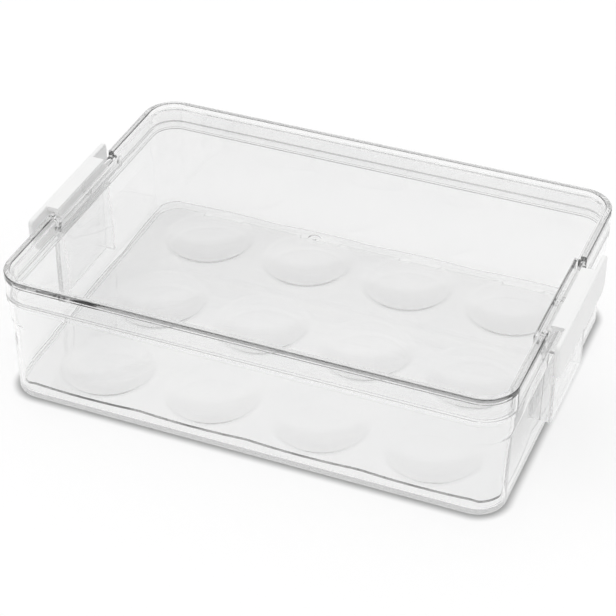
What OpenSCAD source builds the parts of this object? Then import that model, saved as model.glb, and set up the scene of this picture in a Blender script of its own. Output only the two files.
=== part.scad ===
// Clear egg keeper: a tub, a lift-out tray of egg cups, a lid, and a snap latch at each end.
// Origin at the centre of the base, +X along the length, +Z up. Sizes are in millimetres.

/* [Body] */
// Length over the lid
body_l = 250; // [240:1:300]
// Width over the lid
body_w = 178; // [170:1:230]
// Height with the lid on
body_h = 68; // [60:1:110]
// Corner radius of the lid and of the tub's flange
corner_r = 16.3; // [12:0.1:30]

/* [Tub] */
// Wall thickness
wall = 2; // [1.6:0.1:2.6]
// Floor thickness
floor_t = 2; // [1.5:0.1:3]
// How far the foot of the wall stands inside the lid's outline
foot_inset = 2.3; // [1.9:0.1:4]
// How far the wall stands inside the outline just under the mouth step
waist_inset = 1.9; // [1.2:0.1:2.3]
// How far the wide mouth stands inside the outline
mouth_inset = 0.8; // [0.4:0.1:1.1]
// Height of the wide mouth, from the step up to the flange's top
mouth_h = 12; // [9:0.1:18]
// Height of the slanted step under the mouth
step_h = 4.7; // [2:0.1:6]
// Height of the flange that the lid sits on
flange_h = 3.4; // [2.5:0.1:5]
// Radius of the flange's two outer edges
flange_r = 0.5; // [0.2:0.1:0.7]
// Radius of the outer bottom edge
foot_r = 1.2; // [0.6:0.1:1.8]
// Radius where the floor meets the wall inside
floor_r = 2; // [1:0.1:3]

/* [Catch] */
// Width of the catch box on each end wall
catch_w = 50; // [40:1:60]
// How far the catch box stands out from the lid's outline
catch_out = 3.5; // [3:0.1:3.9]
// Height of the catch box's open bottom above the table
catch_bottom = 11.5; // [4:0.5:25]
// Wall thickness of the catch box
catch_t = 1.8; // [1.2:0.1:2.2]
// How far the catch lip stands out from the box
lip_out = 0.6; // [0.3:0.1:0.8]
// Height of the catch lip
lip_h = 2.8; // [2:0.1:3.5]

/* [Egg tray] */
// Cups along the length
cups_x = 4; // [3:1:4]
// Cups across the width
cups_y = 3; // [2:1:3]
// Diameter of a cup at the deck
cup_d = 46; // [40:0.5:48]
// Depth of a cup below the deck
cup_depth = 3.8; // [2.5:0.1:3.9]
// Sheet thickness of the tray
tray_t = 1.4; // [1.2:0.1:2]
// Radius of the rolled edge round each cup
cup_lip_r = 1.6; // [1:0.1:2.5]
// Angle over which the underside of a cup runs out into the deck
cup_blend_angle = 4; // [2:0.5:6]
// From the end of the tray to the centre of the first cup
cup_edge_x = 37; // [30:0.5:38]
// From the side of the tray to the centre of the first cup
cup_edge_y = 26; // [25:0.5:30]
// How far the deck's edge swells out beside each cup
scallop = 1; // [0.4:0.1:2]
// Length of the notch in the deck's edge between two cups
scallop_gap = 3; // [1:0.5:6]

/* [Lid] */
// Height of the lid's skirt, from the top of the rim down
skirt_h = 12; // [11.6:0.1:20]
// Thickness of the skirt
skirt_t = 1.8; // [1.4:0.1:2]
// Width of the raised rim
rim_w = 3; // [2.5:0.1:4.5]
// How far the flat panel lies below the top of the rim
panel_drop = 2; // [1:0.1:2.6]
// Thickness of the panel
panel_t = 2; // [1.5:0.1:3]
// Thickness of the plug that drops into the mouth
plug_t = 1.5; // [1.2:0.1:2]
// How far the plug reaches below the skirt
plug_h = 3.4; // [1.5:0.1:6]
// Radius of the rim's two top edges
rim_r = 0.8; // [0.3:0.1:1.1]
// Diameter of the gate mark in the middle of the panel
gate_d = 6; // [3:0.5:10]
// Depth of the gate mark
gate_depth = 0.5; // [0.2:0.1:0.8]
// Diameter of the stub in the middle of the gate mark
gate_stub_d = 2; // [1:0.1:2.5]
// How far the stub's top stays below the panel
gate_stub_drop = 0.1; // [0.05:0.05:0.15]

/* [Hinge] */
// Length of the pocket that holds a latch's hinge
pocket_l = 62; // [59:1:66]
// Depth of the pocket from the lid's outline
pocket_in = 4.7; // [4.5:0.1:6]
// Thickness of the pocket's walls and floor
pocket_t = 1.6; // [1.2:0.1:2.2]
// Chamfer on the pocket's inner top edge
pocket_chamfer = 0.8; // [0.6:0.1:1.2]
// Radius of the pocket's two inner corners
pocket_r = 2; // [0.8:0.1:3]
// Diameter of the hinge bar
bar_d = 3; // [2.6:0.1:3.2]
// Thickness of the web under the middle of the bar
web_t = 1.8; // [1.2:0.1:3]

/* [Latches] */
// Width of a latch plate
latch_w = 79; // [70:1:90]
// Height of a latch plate
latch_h = 20; // [18.5:0.1:21]
// Thickness of a latch plate
latch_t = 2.6; // [2:0.1:2.8]
// How far the plate's outer face stands out from the lid's outline
latch_out = 8; // [7.6:0.1:10]
// Width of the hinge tab
tab_w = 49; // [40:1:54]
// Thickness of the hinge tab
tab_t = 2.2; // [1.6:0.1:2.4]
// How far the tab's top stands above the lid's panel
tab_rise = 0.5; // [0.2:0.1:0.9]
// Outer radius of the bend from tab to plate
bend_r = 3; // [1.5:0.5:4]
// Thickness of the hook round the hinge bar
hook_t = 1.05; // [0.8:0.05:1.1]
// Width of the notch under the hook, which the bar's web stands in
hook_gap = 4.4; // [4:0.1:8]
// Angle at which the hook's mouth starts, from straight out
hook_angle_from = 70; // [60:5:80]
// Angle at which the hook's mouth ends
hook_angle_to = 225; // [200:5:230]
// Radius of the plate's two lower corners
latch_r = 7; // [4:0.5:9]
// Radius of the plate's two upper corners
latch_top_r = 2.5; // [1.5:0.5:5]
// Radius of the plate's soft edges
latch_edge = 0.9; // [0.4:0.1:0.9]
// Width of the snap nib
nib_w = 44; // [30:1:48]
// Height of the snap nib
nib_h = 2.1; // [1.5:0.1:2.6]

/* [Fits] */
// Gap under the lid's skirt and under the tray's cups
seat_gap = 0.3; // [0.2:0.05:0.5]
// Gap round the plug inside the mouth
plug_gap = 0.3; // [0.2:0.05:0.5]
// Gap between the tray and the wall
tray_gap = 0.5; // [0.3:0.1:1]
// Radial gap of the hook round the hinge bar
hinge_gap = 0.05; // [0.03:0.01:0.08]
// Room in the pocket under the hook
pocket_gap = 1.3; // [0.8:0.1:2]
// Room in front of the bar's web in the hook's notch
notch_gap = 0.4; // [0.2:0.1:0.7]
// Gap between the snap nib and the front of the catch lip
nib_gap = 0.1; // [0.05:0.05:0.3]
// Height of the gap between the snap nib and the catch lip
nib_drop = 0.5; // [0.3:0.1:1]

/* [Hidden] */
$fn = 96;
// Straight steps in a fillet, a small edge and a cup's dish
arc_steps = 6;
edge_steps = 3;
dish_steps = 12;
// Overlap of shapes that are fused or cut
lap = 1;

half_l = body_l / 2;
half_w = body_w / 2;

// Levels
flange_top = body_h - skirt_h - seat_gap;
flange_bottom = flange_top - flange_h;
step_top = flange_top - mouth_h;
step_bottom = step_top - step_h;
panel_top = body_h - panel_drop;
panel_bottom = panel_top - panel_t;
skirt_bottom = body_h - skirt_h;
plug_bottom = skirt_bottom - plug_h;
deck_top = floor_t + seat_gap + tray_t + cup_depth;

// Insets, each measured inwards from the lid's outline
mouth_in = mouth_inset + wall;
plug_out = mouth_in + plug_gap;
plug_in = plug_out + plug_t;
tray_inset = foot_inset + wall + tray_gap;
wall_join = foot_inset + wall + floor_r;
panel_join = plug_in + plug_t;
flange_edge = min(flange_r, 0.7 * mouth_inset);

// Tray
tray_l = body_l - 2 * tray_inset;
tray_w = body_w - 2 * tray_inset;
cup_pitch_x = (tray_l - 2 * cup_edge_x) / (cups_x - 1);
cup_pitch_y = (tray_w - 2 * cup_edge_y) / (cups_y - 1);

// Hinge
bar_r = bar_d / 2;
hook_bore_r = bar_r + hinge_gap;
hook_r = hook_bore_r + hook_t;
hinge_x = half_l - bar_r;
hinge_z = panel_top + tab_rise - hook_r;
pocket_floor = hinge_z - hook_r - pocket_gap;

// Latch, measured from the hinge bar
plate_out = latch_out + bar_r;
plate_in = plate_out - latch_t;
plate_bottom = hook_r - latch_h;

// Catch
catch_x = half_l + catch_out;
lip_x = catch_x + lip_out;
lip_bottom = flange_bottom - lip_h;
nib_top = lip_bottom - nib_drop;

function arc(centre, r, from, to, n = arc_steps) =
    [for (i = [0:n]) centre + r * [cos(from + (to - from) * i / n), sin(from + (to - from) * i / n)]];

// Solid with a rounded rectangular outline, its sides moved in by an inset
module rounded_slab(inset, z0, z1) {
    r = corner_r - inset;
    l = body_l - 2 * corner_r;
    w = body_w - 2 * corner_r;
    translate([0, 0, z0]) linear_extrude(z1 - z0) union() {
        square([l + 2 * r, w], center = true);
        square([l, w + 2 * r], center = true);
        for (x = [-l / 2, l / 2], y = [-w / 2, w / 2]) translate([x, y]) circle(r);
    }
}

// Sweeps a wall section round the body. Its points are [inset, height].
module swept(section) {
    l = body_l - 2 * corner_r;
    w = body_w - 2 * corner_r;
    for (side = [0, 180]) {
        rotate(side) rotate([90, 0, 0]) linear_extrude(w, center = true)
            polygon([for (p = section) [half_l - p[0], p[1]]]);
        rotate(side + 90) rotate([90, 0, 0]) linear_extrude(l, center = true)
            polygon([for (p = section) [half_w - p[0], p[1]]]);
    }
    for (c = [[1, 1, 0], [-1, 1, 90], [-1, -1, 180], [1, -1, 270]])
        translate([c[0] * l / 2, c[1] * w / 2, 0]) rotate(c[2]) rotate_extrude(angle = 90)
            polygon([for (p = section) [corner_r - p[0], p[1]]]);
}

// Bar of constant section across the end of the body. Its points are [distance along X, height].
module across(width, section) {
    rotate([90, 0, 0]) linear_extrude(width, center = true) polygon(section);
}

function bin_section() = concat(
    [[wall_join, 0]],
    arc([foot_inset + foot_r, foot_r], foot_r, 270, 180),
    [[waist_inset, step_bottom], [mouth_inset, step_top], [mouth_inset, flange_bottom]],
    arc([flange_edge, flange_bottom + flange_edge], flange_edge, 270, 180, edge_steps),
    arc([flange_edge, flange_top - flange_edge], flange_edge, 180, 90, edge_steps),
    [[mouth_in, flange_top], [mouth_in, step_top], [waist_inset + wall, step_bottom]],
    arc([wall_join, floor_t + floor_r], floor_r, 180, 270)
);

// Hollow box on an end wall, open at the bottom, with the lip that the latch snaps over.
// Its inner edge follows the middle of the wall.
module catch_box() {
    foot_x = half_l - foot_inset - wall / 2;
    waist_x = half_l - waist_inset - wall / 2;
    mouth_x = half_l - mouth_inset - wall / 2;
    hollow_x = catch_x - catch_t;
    difference() {
        across(catch_w, [
            [foot_x, catch_bottom], [catch_x, catch_bottom], [catch_x, lip_bottom - lip_out],
            [lip_x, lip_bottom], [lip_x, flange_bottom - lip_out], [catch_x, flange_bottom],
            [mouth_x, flange_bottom], [mouth_x, step_top], [waist_x, step_bottom]
        ]);
        across(catch_w - 2 * catch_t, [
            [foot_x - wall, catch_bottom - lap], [hollow_x, catch_bottom - lap],
            [hollow_x, flange_bottom - catch_t], [foot_x - wall, flange_bottom - catch_t]
        ]);
    }
}

module bin() {
    color([0.92, 0.94, 0.95, 0.35]) {
        for (side = [0, 1]) mirror([side, 0, 0]) catch_box();
        swept(bin_section());
        rounded_slab(wall_join - lap, 0, floor_t);
    }
}

// One cup as a shallow dish with a rolled edge
module cup() {
    r = cup_d / 2;
    dish_r = (r * r + cup_depth * cup_depth) / (2 * cup_depth);
    dish_a = asin(r / dish_r);
    centre = [0, deck_top - cup_depth + dish_r];
    rotate_extrude() polygon(concat(
        arc(centre, dish_r, 270, 270 + dish_a, dish_steps),
        [[r + cup_lip_r, deck_top], [r + cup_lip_r, deck_top - tray_t]],
        [for (p = arc(centre, dish_r + tray_t, 270 + dish_a - cup_blend_angle, 270, dish_steps))
            [max(p[0], 0), p[1]]]
    ));
}

// Points along one edge of the deck, swelling out beside each cup
function deck_edge(reach, first, pitch, n, turn) = [
    for (i = [0:n - 1], k = [0:arc_steps])
        let (
            chord = pitch - scallop_gap,
            t = 2 * k / arc_steps - 1,
            along = first + i * pitch + t * chord / 2,
            out = reach - scallop * t * t
        )
        [out * cos(turn) - along * sin(turn), out * sin(turn) + along * cos(turn)]
];

module egg_tray() {
    first_x = -cup_pitch_x * (cups_x - 1) / 2;
    first_y = -cup_pitch_y * (cups_y - 1) / 2;
    color([0.92, 0.94, 0.95, 0.35]) {
        difference() {
            intersection() {
                rounded_slab(tray_inset, deck_top - tray_t, deck_top);
                translate([0, 0, deck_top - tray_t]) linear_extrude(tray_t) polygon(concat(
                    [[tray_l / 2, -tray_w / 2]],
                    deck_edge(tray_l / 2, first_y, cup_pitch_y, cups_y, 0),
                    [[tray_l / 2, tray_w / 2]],
                    deck_edge(tray_w / 2, first_x, cup_pitch_x, cups_x, 90),
                    [[-tray_l / 2, tray_w / 2]],
                    deck_edge(tray_l / 2, first_y, cup_pitch_y, cups_y, 180),
                    [[-tray_l / 2, -tray_w / 2]],
                    deck_edge(tray_w / 2, first_x, cup_pitch_x, cups_x, 270)
                ));
            }
            each_cup() translate([0, 0, deck_top - tray_t - lap])
                cylinder(h = tray_t + 2 * lap, d = cup_d + cup_lip_r);
        }
        each_cup() cup();
    }
}

module each_cup() {
    for (i = [0:cups_x - 1], j = [0:cups_y - 1])
        translate([(i - (cups_x - 1) / 2) * cup_pitch_x, (j - (cups_y - 1) / 2) * cup_pitch_y, 0])
            children();
}

function lid_section() = concat(
    [[0, skirt_bottom]],
    arc([rim_r, body_h - rim_r], rim_r, 180, 90),
    arc([rim_w - rim_r, body_h - rim_r], rim_r, 90, 0),
    [
        [rim_w, panel_top], [panel_join, panel_top], [panel_join, panel_bottom], [plug_in, panel_bottom],
        [plug_in, plug_bottom], [plug_out, plug_bottom], [plug_out, panel_bottom],
        [skirt_t, panel_bottom], [skirt_t, skirt_bottom]
    ]
);

// Walls of the pocket that a latch is hinged in
module pocket_block() {
    x0 = half_l - pocket_in - pocket_t;
    x1 = half_l - skirt_t / 2;
    z0 = pocket_floor - pocket_t;
    translate([x0, -pocket_l / 2 - pocket_t, z0])
        cube([x1 - x0, pocket_l + 2 * pocket_t, panel_top - z0]);
}

module pocket_cut() {
    x0 = half_l - pocket_in;
    corner = [x0 - pocket_chamfer + pocket_r, pocket_l / 2 - pocket_r];
    intersection() {
        across(pocket_l + lap, [
            [x0, pocket_floor], [half_l + lap, pocket_floor], [half_l + lap, body_h + lap],
            [x0 - pocket_chamfer, body_h + lap], [x0 - pocket_chamfer, panel_top],
            [x0, panel_top - pocket_chamfer]
        ]);
        translate([0, 0, pocket_floor - lap]) linear_extrude(body_h) polygon(concat(
            [[half_l + 2 * lap, pocket_l / 2]],
            arc(corner, pocket_r, 90, 180),
            arc([corner[0], -corner[1]], pocket_r, 180, 270),
            [[half_l + 2 * lap, -pocket_l / 2]]
        ));
    }
}

module hinge_bar() {
    translate([hinge_x, 0, hinge_z]) rotate([90, 0, 0])
        cylinder(h = pocket_l + pocket_t, r = bar_r, center = true);
    x0 = half_l - pocket_in - pocket_t / 2;
    translate([x0, -web_t / 2, pocket_floor - pocket_t / 2])
        cube([hinge_x + bar_r / 2 - x0, web_t, hinge_z - bar_r / 2 - pocket_floor + pocket_t / 2]);
}

module lid() {
    color([0.92, 0.94, 0.95, 0.35]) {
        difference() {
            union() {
                rounded_slab(panel_join - lap, panel_bottom, panel_top);
                swept(lid_section());
                for (side = [0, 1]) mirror([side, 0, 0]) pocket_block();
            }
            for (side = [0, 1]) mirror([side, 0, 0]) pocket_cut();
            translate([0, 0, panel_top - gate_depth]) cylinder(h = gate_depth + lap, d = gate_d);
        }
        for (side = [0, 1]) mirror([side, 0, 0]) hinge_bar();
        translate([0, 0, panel_bottom]) cylinder(h = panel_t - gate_stub_drop, d = gate_stub_d);
    }
}

// Disc with soft edges that lies in the plane of a latch plate
module soft_disc(r) {
    rotate([0, 90, 0]) rotate_extrude($fn = 32) polygon(concat(
        [[0, 0]],
        arc([r - latch_edge, latch_edge], latch_edge, 270, 360, edge_steps),
        arc([r - latch_edge, latch_t - latch_edge], latch_edge, 0, 90, edge_steps),
        [[0, latch_t]]
    ));
}

module latch_plate() {
    translate([plate_in, 0, 0]) hull() for (side = [-1, 1]) {
        translate([0, side * (latch_w / 2 - latch_r), plate_bottom + latch_r]) soft_disc(latch_r);
        translate([0, side * (latch_w / 2 - latch_top_r), hook_r - latch_top_r]) soft_disc(latch_top_r);
    }
}

// The right-hand latch, drawn round its hinge bar
module latch() {
    wedge_r = 1.5 * hook_r;
    nib_x = lip_x + nib_gap - hinge_x;
    difference() {
        union() {
            rotate([90, 0, 0]) cylinder(h = tab_w, r = hook_r, center = true);
            across(tab_w, concat(
                [[0, hook_r - tab_t], [0, hook_r]],
                arc([plate_out - bend_r, hook_r - bend_r], bend_r, 90, 0),
                [[plate_out, hook_r - bend_r - lap], [plate_in, hook_r - bend_r - lap],
                    [plate_in, hook_r - tab_t]]
            ));
            latch_plate();
        }
        rotate([90, 0, 0]) cylinder(h = tab_w + lap, r = hook_bore_r, center = true);
        across(tab_w + lap, concat([[0, 0]], arc([0, 0], wedge_r, hook_angle_from, hook_angle_to)));
        translate([-wedge_r, -hook_gap / 2, -wedge_r])
            cube([wedge_r + bar_r / 2 + notch_gap, hook_gap, wedge_r]);
    }
    across(nib_w, [
        [nib_x, nib_top - hinge_z], [plate_in + latch_edge, nib_top - hinge_z],
        [plate_in + latch_edge, nib_top - nib_h - hinge_z], [plate_in, nib_top - nib_h - hinge_z],
        [nib_x, nib_top - nib_h / 2 - hinge_z]
    ]);
}

module latch_right() {
    color("white") translate([hinge_x, 0, hinge_z]) latch();
}

module latch_left() {
    color("white") mirror([1, 0, 0]) translate([hinge_x, 0, hinge_z]) latch();
}

bin();
egg_tray();
lid();
latch_left();
latch_right();
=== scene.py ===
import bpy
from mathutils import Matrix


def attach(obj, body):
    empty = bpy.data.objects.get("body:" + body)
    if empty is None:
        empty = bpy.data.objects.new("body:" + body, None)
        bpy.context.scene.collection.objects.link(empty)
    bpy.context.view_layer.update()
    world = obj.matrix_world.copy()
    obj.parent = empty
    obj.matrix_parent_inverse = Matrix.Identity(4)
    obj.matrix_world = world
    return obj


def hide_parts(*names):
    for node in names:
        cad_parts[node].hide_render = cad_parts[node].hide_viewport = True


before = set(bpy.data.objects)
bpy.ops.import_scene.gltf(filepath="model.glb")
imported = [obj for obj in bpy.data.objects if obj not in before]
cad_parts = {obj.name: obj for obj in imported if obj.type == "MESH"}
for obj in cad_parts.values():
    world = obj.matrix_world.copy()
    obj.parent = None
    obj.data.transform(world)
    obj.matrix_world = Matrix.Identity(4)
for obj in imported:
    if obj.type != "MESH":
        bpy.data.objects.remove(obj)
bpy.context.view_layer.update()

import math

import bpy
from mathutils import Vector

MM = 0.001

# Camera, fitted to the keeper's straight edges in a square picture
PICTURE_PX = 616
FOCAL_PX = 2012.95
SENSOR_WIDTH = 36.0
CAMERA_AT = Vector((296.94, -732.76, 605.89)) * MM
CAMERA_TURN = math.radians(22.28)
CAMERA_TILT = math.radians(36.31)
NEAREST = 0.01
FARTHEST = 50.0

# Studio: strengths at which a colour renders about as it is written
AMBIENT = 1.06
SOFTBOX_STRENGTH = 0.5
SOFTBOX_SPREAD = math.radians(50)
SOFTBOX_FROM = Vector((-0.35, 0.75, 1.6))

# Surround: grey up to one angle above the horizon, white from another
GREY_TO = math.sin(math.radians(30))
WHITE_FROM = math.sin(math.radians(40))
GREY_LEVEL = 0.5

# Bounces that let a ray pass lid, walls, tray and floor of the keeper
BOUNCES = 64
CLEAR_BOUNCES = 32

# Floor
FLOOR_SIZE = 12.0
FLOOR_LEVEL = 0.98

# Painted contact shadow on the floor, round the outline that the keeper stands on
FOOT_LENGTH = 243.0 * MM
FOOT_WIDTH = 171.0 * MM
FOOT_CORNER = 12.8 * MM
SHADE_INSIDE = 0.3 * MM
SHADE_OUTSIDE = 6.0 * MM
SHADE_LEVEL = 0.35

# Noises: features to the metre, layers of detail, and the strength of each layer next to the one before
WAVES = (22.0, 1.0, 0.5)
SCUFFS = (900.0, 4.0, 0.7)
GRAIN = (2600.0, 3.0, 0.6)
FLOW = (45.0, 2.0, 0.5)

# Range in which most of a noise's values lie
MOST_FROM, MOST_TO = 0.3, 0.7

# Clear plastic: two close tints, loss of light along each metre, and the share of lamp light let through
CLEAR_LIGHT = (0.985, 0.985, 0.984, 1)
CLEAR_DARK = (0.976, 0.977, 0.977, 1)
CLEAR_INDEX = 1.53
CLEAR_LOSS = 4.0
LAMP_SHARE = 0.990

# Its relief from slow waves and hairline scuffs, and how rough the scuffs make it
WAVE_HEIGHT = 0.9
SCUFF_HEIGHT = 0.012
CLEAR_RELIEF = 0.05 * MM
CLEAR_RELIEF_SHARE = 0.5
SCUFF_FROM, SCUFF_TO = 0.55, 0.8
CLEAR_SMOOTH, CLEAR_ROUGH = 0.015, 0.07

# White plastic: two close tones
WHITE_LIGHT = (0.905, 0.905, 0.900, 1)
WHITE_DARK = (0.885, 0.887, 0.885, 1)
WHITE_INDEX = 1.5

# Its relief from a fine grain and the flow of the moulding, and how rough the grain makes it
GRAIN_HEIGHT = 0.5
FLOW_HEIGHT = 0.5
WHITE_RELIEF = 0.02 * MM
WHITE_RELIEF_SHARE = 0.25
WHITE_SMOOTH, WHITE_ROUGH = 0.30, 0.40

# Edges of the moulded pieces, and how their flat and curved faces are told apart
CLEAR_EDGE = 0.15 * MM
LATCH_EDGE = 0.35 * MM
EDGE_STEPS = 3
MERGE_WITHIN = 0.001 * MM
FLAT_WITHIN = math.radians(0.03)
SHARP_FROM = math.radians(32)
SMOOTH_TO = math.radians(40)


class Wire:
    """One socket of a shader, used as a number in plain sums."""

    def __init__(self, tree, socket=None):
        self.tree = tree
        self.socket = socket

    def node(self, kind, settings=None, inputs=None, out=0):
        """Adds a node, sets its settings, then its sockets, and gives one of its outputs."""
        made = self.tree.nodes.new(kind)
        for name, value in (settings or {}).items():
            setattr(made, name, value)
        for name, value in (inputs or {}).items():
            if isinstance(value, Wire):
                self.tree.links.new(value.socket, made.inputs[name])
            else:
                made.inputs[name].default_value = value
        return Wire(self.tree, made.outputs[out]) if made.outputs else None

    def math(self, operation, *values):
        return self.node("ShaderNodeMath", {"operation": operation}, dict(enumerate(values)))

    def __add__(self, other):
        return self.math("ADD", self, other)

    def __radd__(self, other):
        return self.math("ADD", other, self)

    def __sub__(self, other):
        return self.math("SUBTRACT", self, other)

    def __rsub__(self, other):
        return self.math("SUBTRACT", other, self)

    def __mul__(self, other):
        return self.math("MULTIPLY", self, other)

    def __rmul__(self, other):
        return self.math("MULTIPLY", other, self)

    def ramp(self, low, high, to_low=0.0, to_high=1.0):
        """Runs smoothly from one value to another as this one goes from low to high."""
        return self.node("ShaderNodeMapRange", {"interpolation_type": "SMOOTHSTEP"}, {
            "Value": self, "From Min": low, "From Max": high, "To Min": to_low, "To Max": to_high})

    def blend(self, first, second):
        """Mixes two colours, with this value as the share of the second."""
        return self.node("ShaderNodeMix", {"data_type": "RGBA"}, {"Factor": self, "A": first, "B": second}, 2)

    def noise(self, at, per_metre, detail, roughness):
        return self.node("ShaderNodeTexNoise", None, {
            "Vector": at, "Scale": per_metre, "Detail": detail, "Roughness": roughness})

    def ray(self, kind):
        """One where the ray is of this kind, nothing elsewhere."""
        return self.node("ShaderNodeLightPath", out="Is %s Ray" % kind)


def grey(level):
    return (level, level, level, 1)


def new_material(name):
    """An empty material and the wire that its nodes start from."""
    made = bpy.data.materials.new(name)
    made.use_nodes = True
    made.node_tree.nodes.clear()
    return made, Wire(made.node_tree)


def finish_with(wire, shader, **more):
    wire.node("ShaderNodeOutputMaterial", None, {"Surface": shader, **more})


def clear_plastic():
    """Polished clear plastic: faint grey tint, slow mould waviness and hairline scuffs."""
    made, wire = new_material("clear_plastic")
    at = wire.node("ShaderNodeTexCoord", out="Object")
    waves = wire.noise(at, *WAVES)
    scuffs = wire.noise(at, *SCUFFS)
    bump = wire.node("ShaderNodeBump", None, {
        "Strength": CLEAR_RELIEF_SHARE, "Distance": CLEAR_RELIEF,
        "Height": waves * WAVE_HEIGHT + scuffs * SCUFF_HEIGHT})
    tint = waves.ramp(MOST_FROM, MOST_TO).blend(CLEAR_LIGHT, CLEAR_DARK)
    gloss = scuffs.ramp(SCUFF_FROM, SCUFF_TO, CLEAR_SMOOTH, CLEAR_ROUGH)
    plastic = wire.node("ShaderNodeBsdfPrincipled", None, {
        "Base Color": tint, "Roughness": gloss, "IOR": CLEAR_INDEX,
        "Transmission Weight": 1.0, "Normal": bump})
    shine_through = wire.node("ShaderNodeBsdfTransparent", None, {"Color": grey(LAMP_SHARE)})
    lamp_light = wire.math("MAXIMUM", wire.ray("Shadow"), wire.ray("Diffuse"))
    depth = wire.node("ShaderNodeVolumeAbsorption", None, {"Color": grey(0), "Density": CLEAR_LOSS})
    surface = wire.node("ShaderNodeMixShader", None, {0: lamp_light, 1: plastic, 2: shine_through})
    finish_with(wire, surface, Volume=depth)
    return made


def white_plastic():
    """Opaque white moulded plastic with a fine spark grain and a soft gloss."""
    made, wire = new_material("white_plastic")
    at = wire.node("ShaderNodeTexCoord", out="Object")
    grain = wire.noise(at, *GRAIN)
    flow = wire.noise(at, *FLOW)
    bump = wire.node("ShaderNodeBump", None, {
        "Strength": WHITE_RELIEF_SHARE, "Distance": WHITE_RELIEF,
        "Height": grain * GRAIN_HEIGHT + flow * FLOW_HEIGHT})
    tone = flow.ramp(MOST_FROM, MOST_TO).blend(WHITE_LIGHT, WHITE_DARK)
    gloss = grain.ramp(MOST_FROM, MOST_TO, WHITE_SMOOTH, WHITE_ROUGH)
    finish_with(wire, wire.node("ShaderNodeBsdfPrincipled", None, {
        "Base Color": tone, "Roughness": gloss, "IOR": WHITE_INDEX, "Normal": bump}))
    return made


def dressed(node, body, finish, edge):
    """A merged copy of a node's solid, with its moulded edges rounded, that stands for it."""
    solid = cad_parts[node]
    piece = bpy.data.objects.new(node + "_moulded", solid.data.copy())
    bpy.context.scene.collection.objects.link(piece)
    bpy.ops.object.select_all(action="DESELECT")
    piece.select_set(True)
    bpy.context.view_layer.objects.active = piece
    bpy.ops.object.mode_set(mode="EDIT")
    bpy.ops.mesh.select_all(action="SELECT")
    bpy.ops.mesh.remove_doubles(threshold=MERGE_WITHIN)
    bpy.ops.mesh.dissolve_limited(angle_limit=FLAT_WITHIN)
    bpy.ops.object.mode_set(mode="OBJECT")
    bevel = piece.modifiers.new("edge", "BEVEL")
    bevel.width = edge
    bevel.segments = EDGE_STEPS
    bevel.limit_method = "ANGLE"
    bevel.angle_limit = SHARP_FROM
    bpy.ops.object.modifier_apply(modifier=bevel.name)
    bpy.ops.object.shade_smooth_by_angle(angle=SMOOTH_TO)
    even = piece.modifiers.new("even", "WEIGHTED_NORMAL")
    even.keep_sharp = True
    bpy.ops.object.modifier_apply(modifier=even.name)
    piece.data.materials.clear()
    piece.data.materials.append(finish)
    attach(piece, body)
    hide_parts(node)


def outside(wire, length, width, corner):
    """Distance outside a rounded rectangle on the floor, less than nothing inside it."""
    at = wire.node("ShaderNodeTexCoord", out="Object")
    beyond = []
    for axis, size in (("X", length), ("Y", width)):
        along = wire.node("ShaderNodeSeparateXYZ", None, {"Vector": at}, axis)
        beyond.append(wire.math("ABSOLUTE", along) - (size / 2 - corner))
    x, y = (wire.math("MAXIMUM", reach, 0.0) for reach in beyond)
    within = wire.math("MINIMUM", wire.math("MAXIMUM", *beyond), 0.0)
    return wire.math("SQRT", x * x + y * y) + within - corner


def floor():
    """Pale floor that takes the keeper's shadow, with a painted contact shadow round the foot that only
    camera rays see.
    """
    bpy.ops.object.select_all(action="DESELECT")
    bpy.ops.mesh.primitive_plane_add(size=FLOOR_SIZE)
    plane = bpy.context.object
    plane.name = "floor"
    made, wire = new_material("floor_white")
    gap = outside(wire, FOOT_LENGTH, FOOT_WIDTH, FOOT_CORNER)
    # Painted contact shadow: the floor colour darkens in a narrow band round the foot, for camera rays only
    painted_contact_shade = gap.ramp(-SHADE_INSIDE, 0.0) * gap.ramp(0.0, SHADE_OUTSIDE, 1.0, 0.0) * wire.ray("Camera")
    tone = painted_contact_shade.blend(grey(FLOOR_LEVEL), grey(SHADE_LEVEL))
    finish_with(wire, wire.node("ShaderNodeBsdfPrincipled", None, {
        "Base Color": tone, "Roughness": 1.0, "Specular IOR Level": 0.0}))
    plane.data.materials.append(made)


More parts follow.
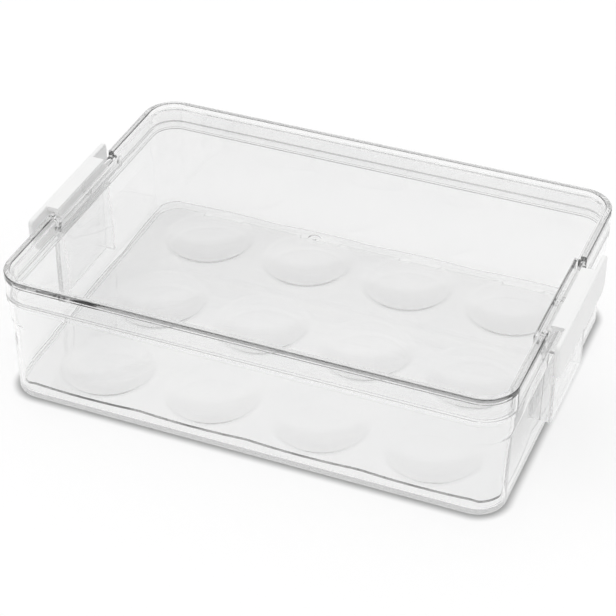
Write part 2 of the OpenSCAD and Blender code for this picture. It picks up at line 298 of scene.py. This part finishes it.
def surround():
    """A backdrop that is white to the eye; for light and reflections, it greys towards the floor."""
    world = bpy.data.worlds.new("studio")
    bpy.context.scene.world = world
    world.use_nodes = True
    world.node_tree.nodes.clear()
    wire = Wire(world.node_tree)
    direct = wire.ray("Camera")
    in_plastic = wire.math("MAXIMUM", wire.ray("Glossy"), wire.ray("Transmission"))
    way = wire.node("ShaderNodeTexCoord", out="Generated")
    height = wire.node("ShaderNodeSeparateXYZ", None, {"Vector": way}, "Z")
    level = height.ramp(GREY_TO, WHITE_FROM, GREY_LEVEL, 1.0) * (in_plastic + (1.0 - in_plastic) * AMBIENT)
    shade = wire.node("ShaderNodeBackground", None, {
        "Color": grey(1), "Strength": direct + (1.0 - direct) * level})
    wire.node("ShaderNodeOutputWorld", None, {"Surface": shade})


def softbox():
    """One large soft lamp above the far left corner, which leaves no image of itself in the plastic."""
    lamp = bpy.data.lights.new("softbox", "SUN")
    lamp.energy = SOFTBOX_STRENGTH
    lamp.angle = SOFTBOX_SPREAD
    box = bpy.data.objects.new("softbox", lamp)
    box.location = SOFTBOX_FROM
    box.rotation_mode = "QUATERNION"
    box.rotation_quaternion = (-SOFTBOX_FROM).to_track_quat("-Z", "Y")
    box.visible_glossy = False
    box.visible_transmission = False
    bpy.context.scene.collection.objects.link(box)


def camera():
    data = bpy.data.cameras.new("camera")
    data.sensor_width = SENSOR_WIDTH
    data.lens = data.sensor_width * FOCAL_PX / PICTURE_PX
    data.clip_start = NEAREST
    data.clip_end = FARTHEST
    made = bpy.data.objects.new("camera", data)
    back = Vector((math.sin(CAMERA_TURN) * math.cos(CAMERA_TILT),
                   -math.cos(CAMERA_TURN) * math.cos(CAMERA_TILT), math.sin(CAMERA_TILT)))
    made.location = CAMERA_AT
    made.rotation_mode = "QUATERNION"
    made.rotation_quaternion = (-back).to_track_quat("-Z", "Y")
    bpy.context.scene.collection.objects.link(made)
    bpy.context.scene.camera = made


def light_paths():
    scene = bpy.context.scene
    scene.view_settings.view_transform = "Standard"
    scene.cycles.max_bounces = BOUNCES
    scene.cycles.transmission_bounces = BOUNCES
    scene.cycles.glossy_bounces = BOUNCES
    scene.cycles.transparent_max_bounces = CLEAR_BOUNCES


camera()
light_paths()
surround()
softbox()
floor()

clear = clear_plastic()
white = white_plastic()
for node, body in (("bin", "bin"), ("egg_tray", "tray"), ("lid", "lid")):
    dressed(node, body, clear, CLEAR_EDGE)
for latch in ("latch_left", "latch_right"):
    dressed(latch, latch, white, LATCH_EDGE)
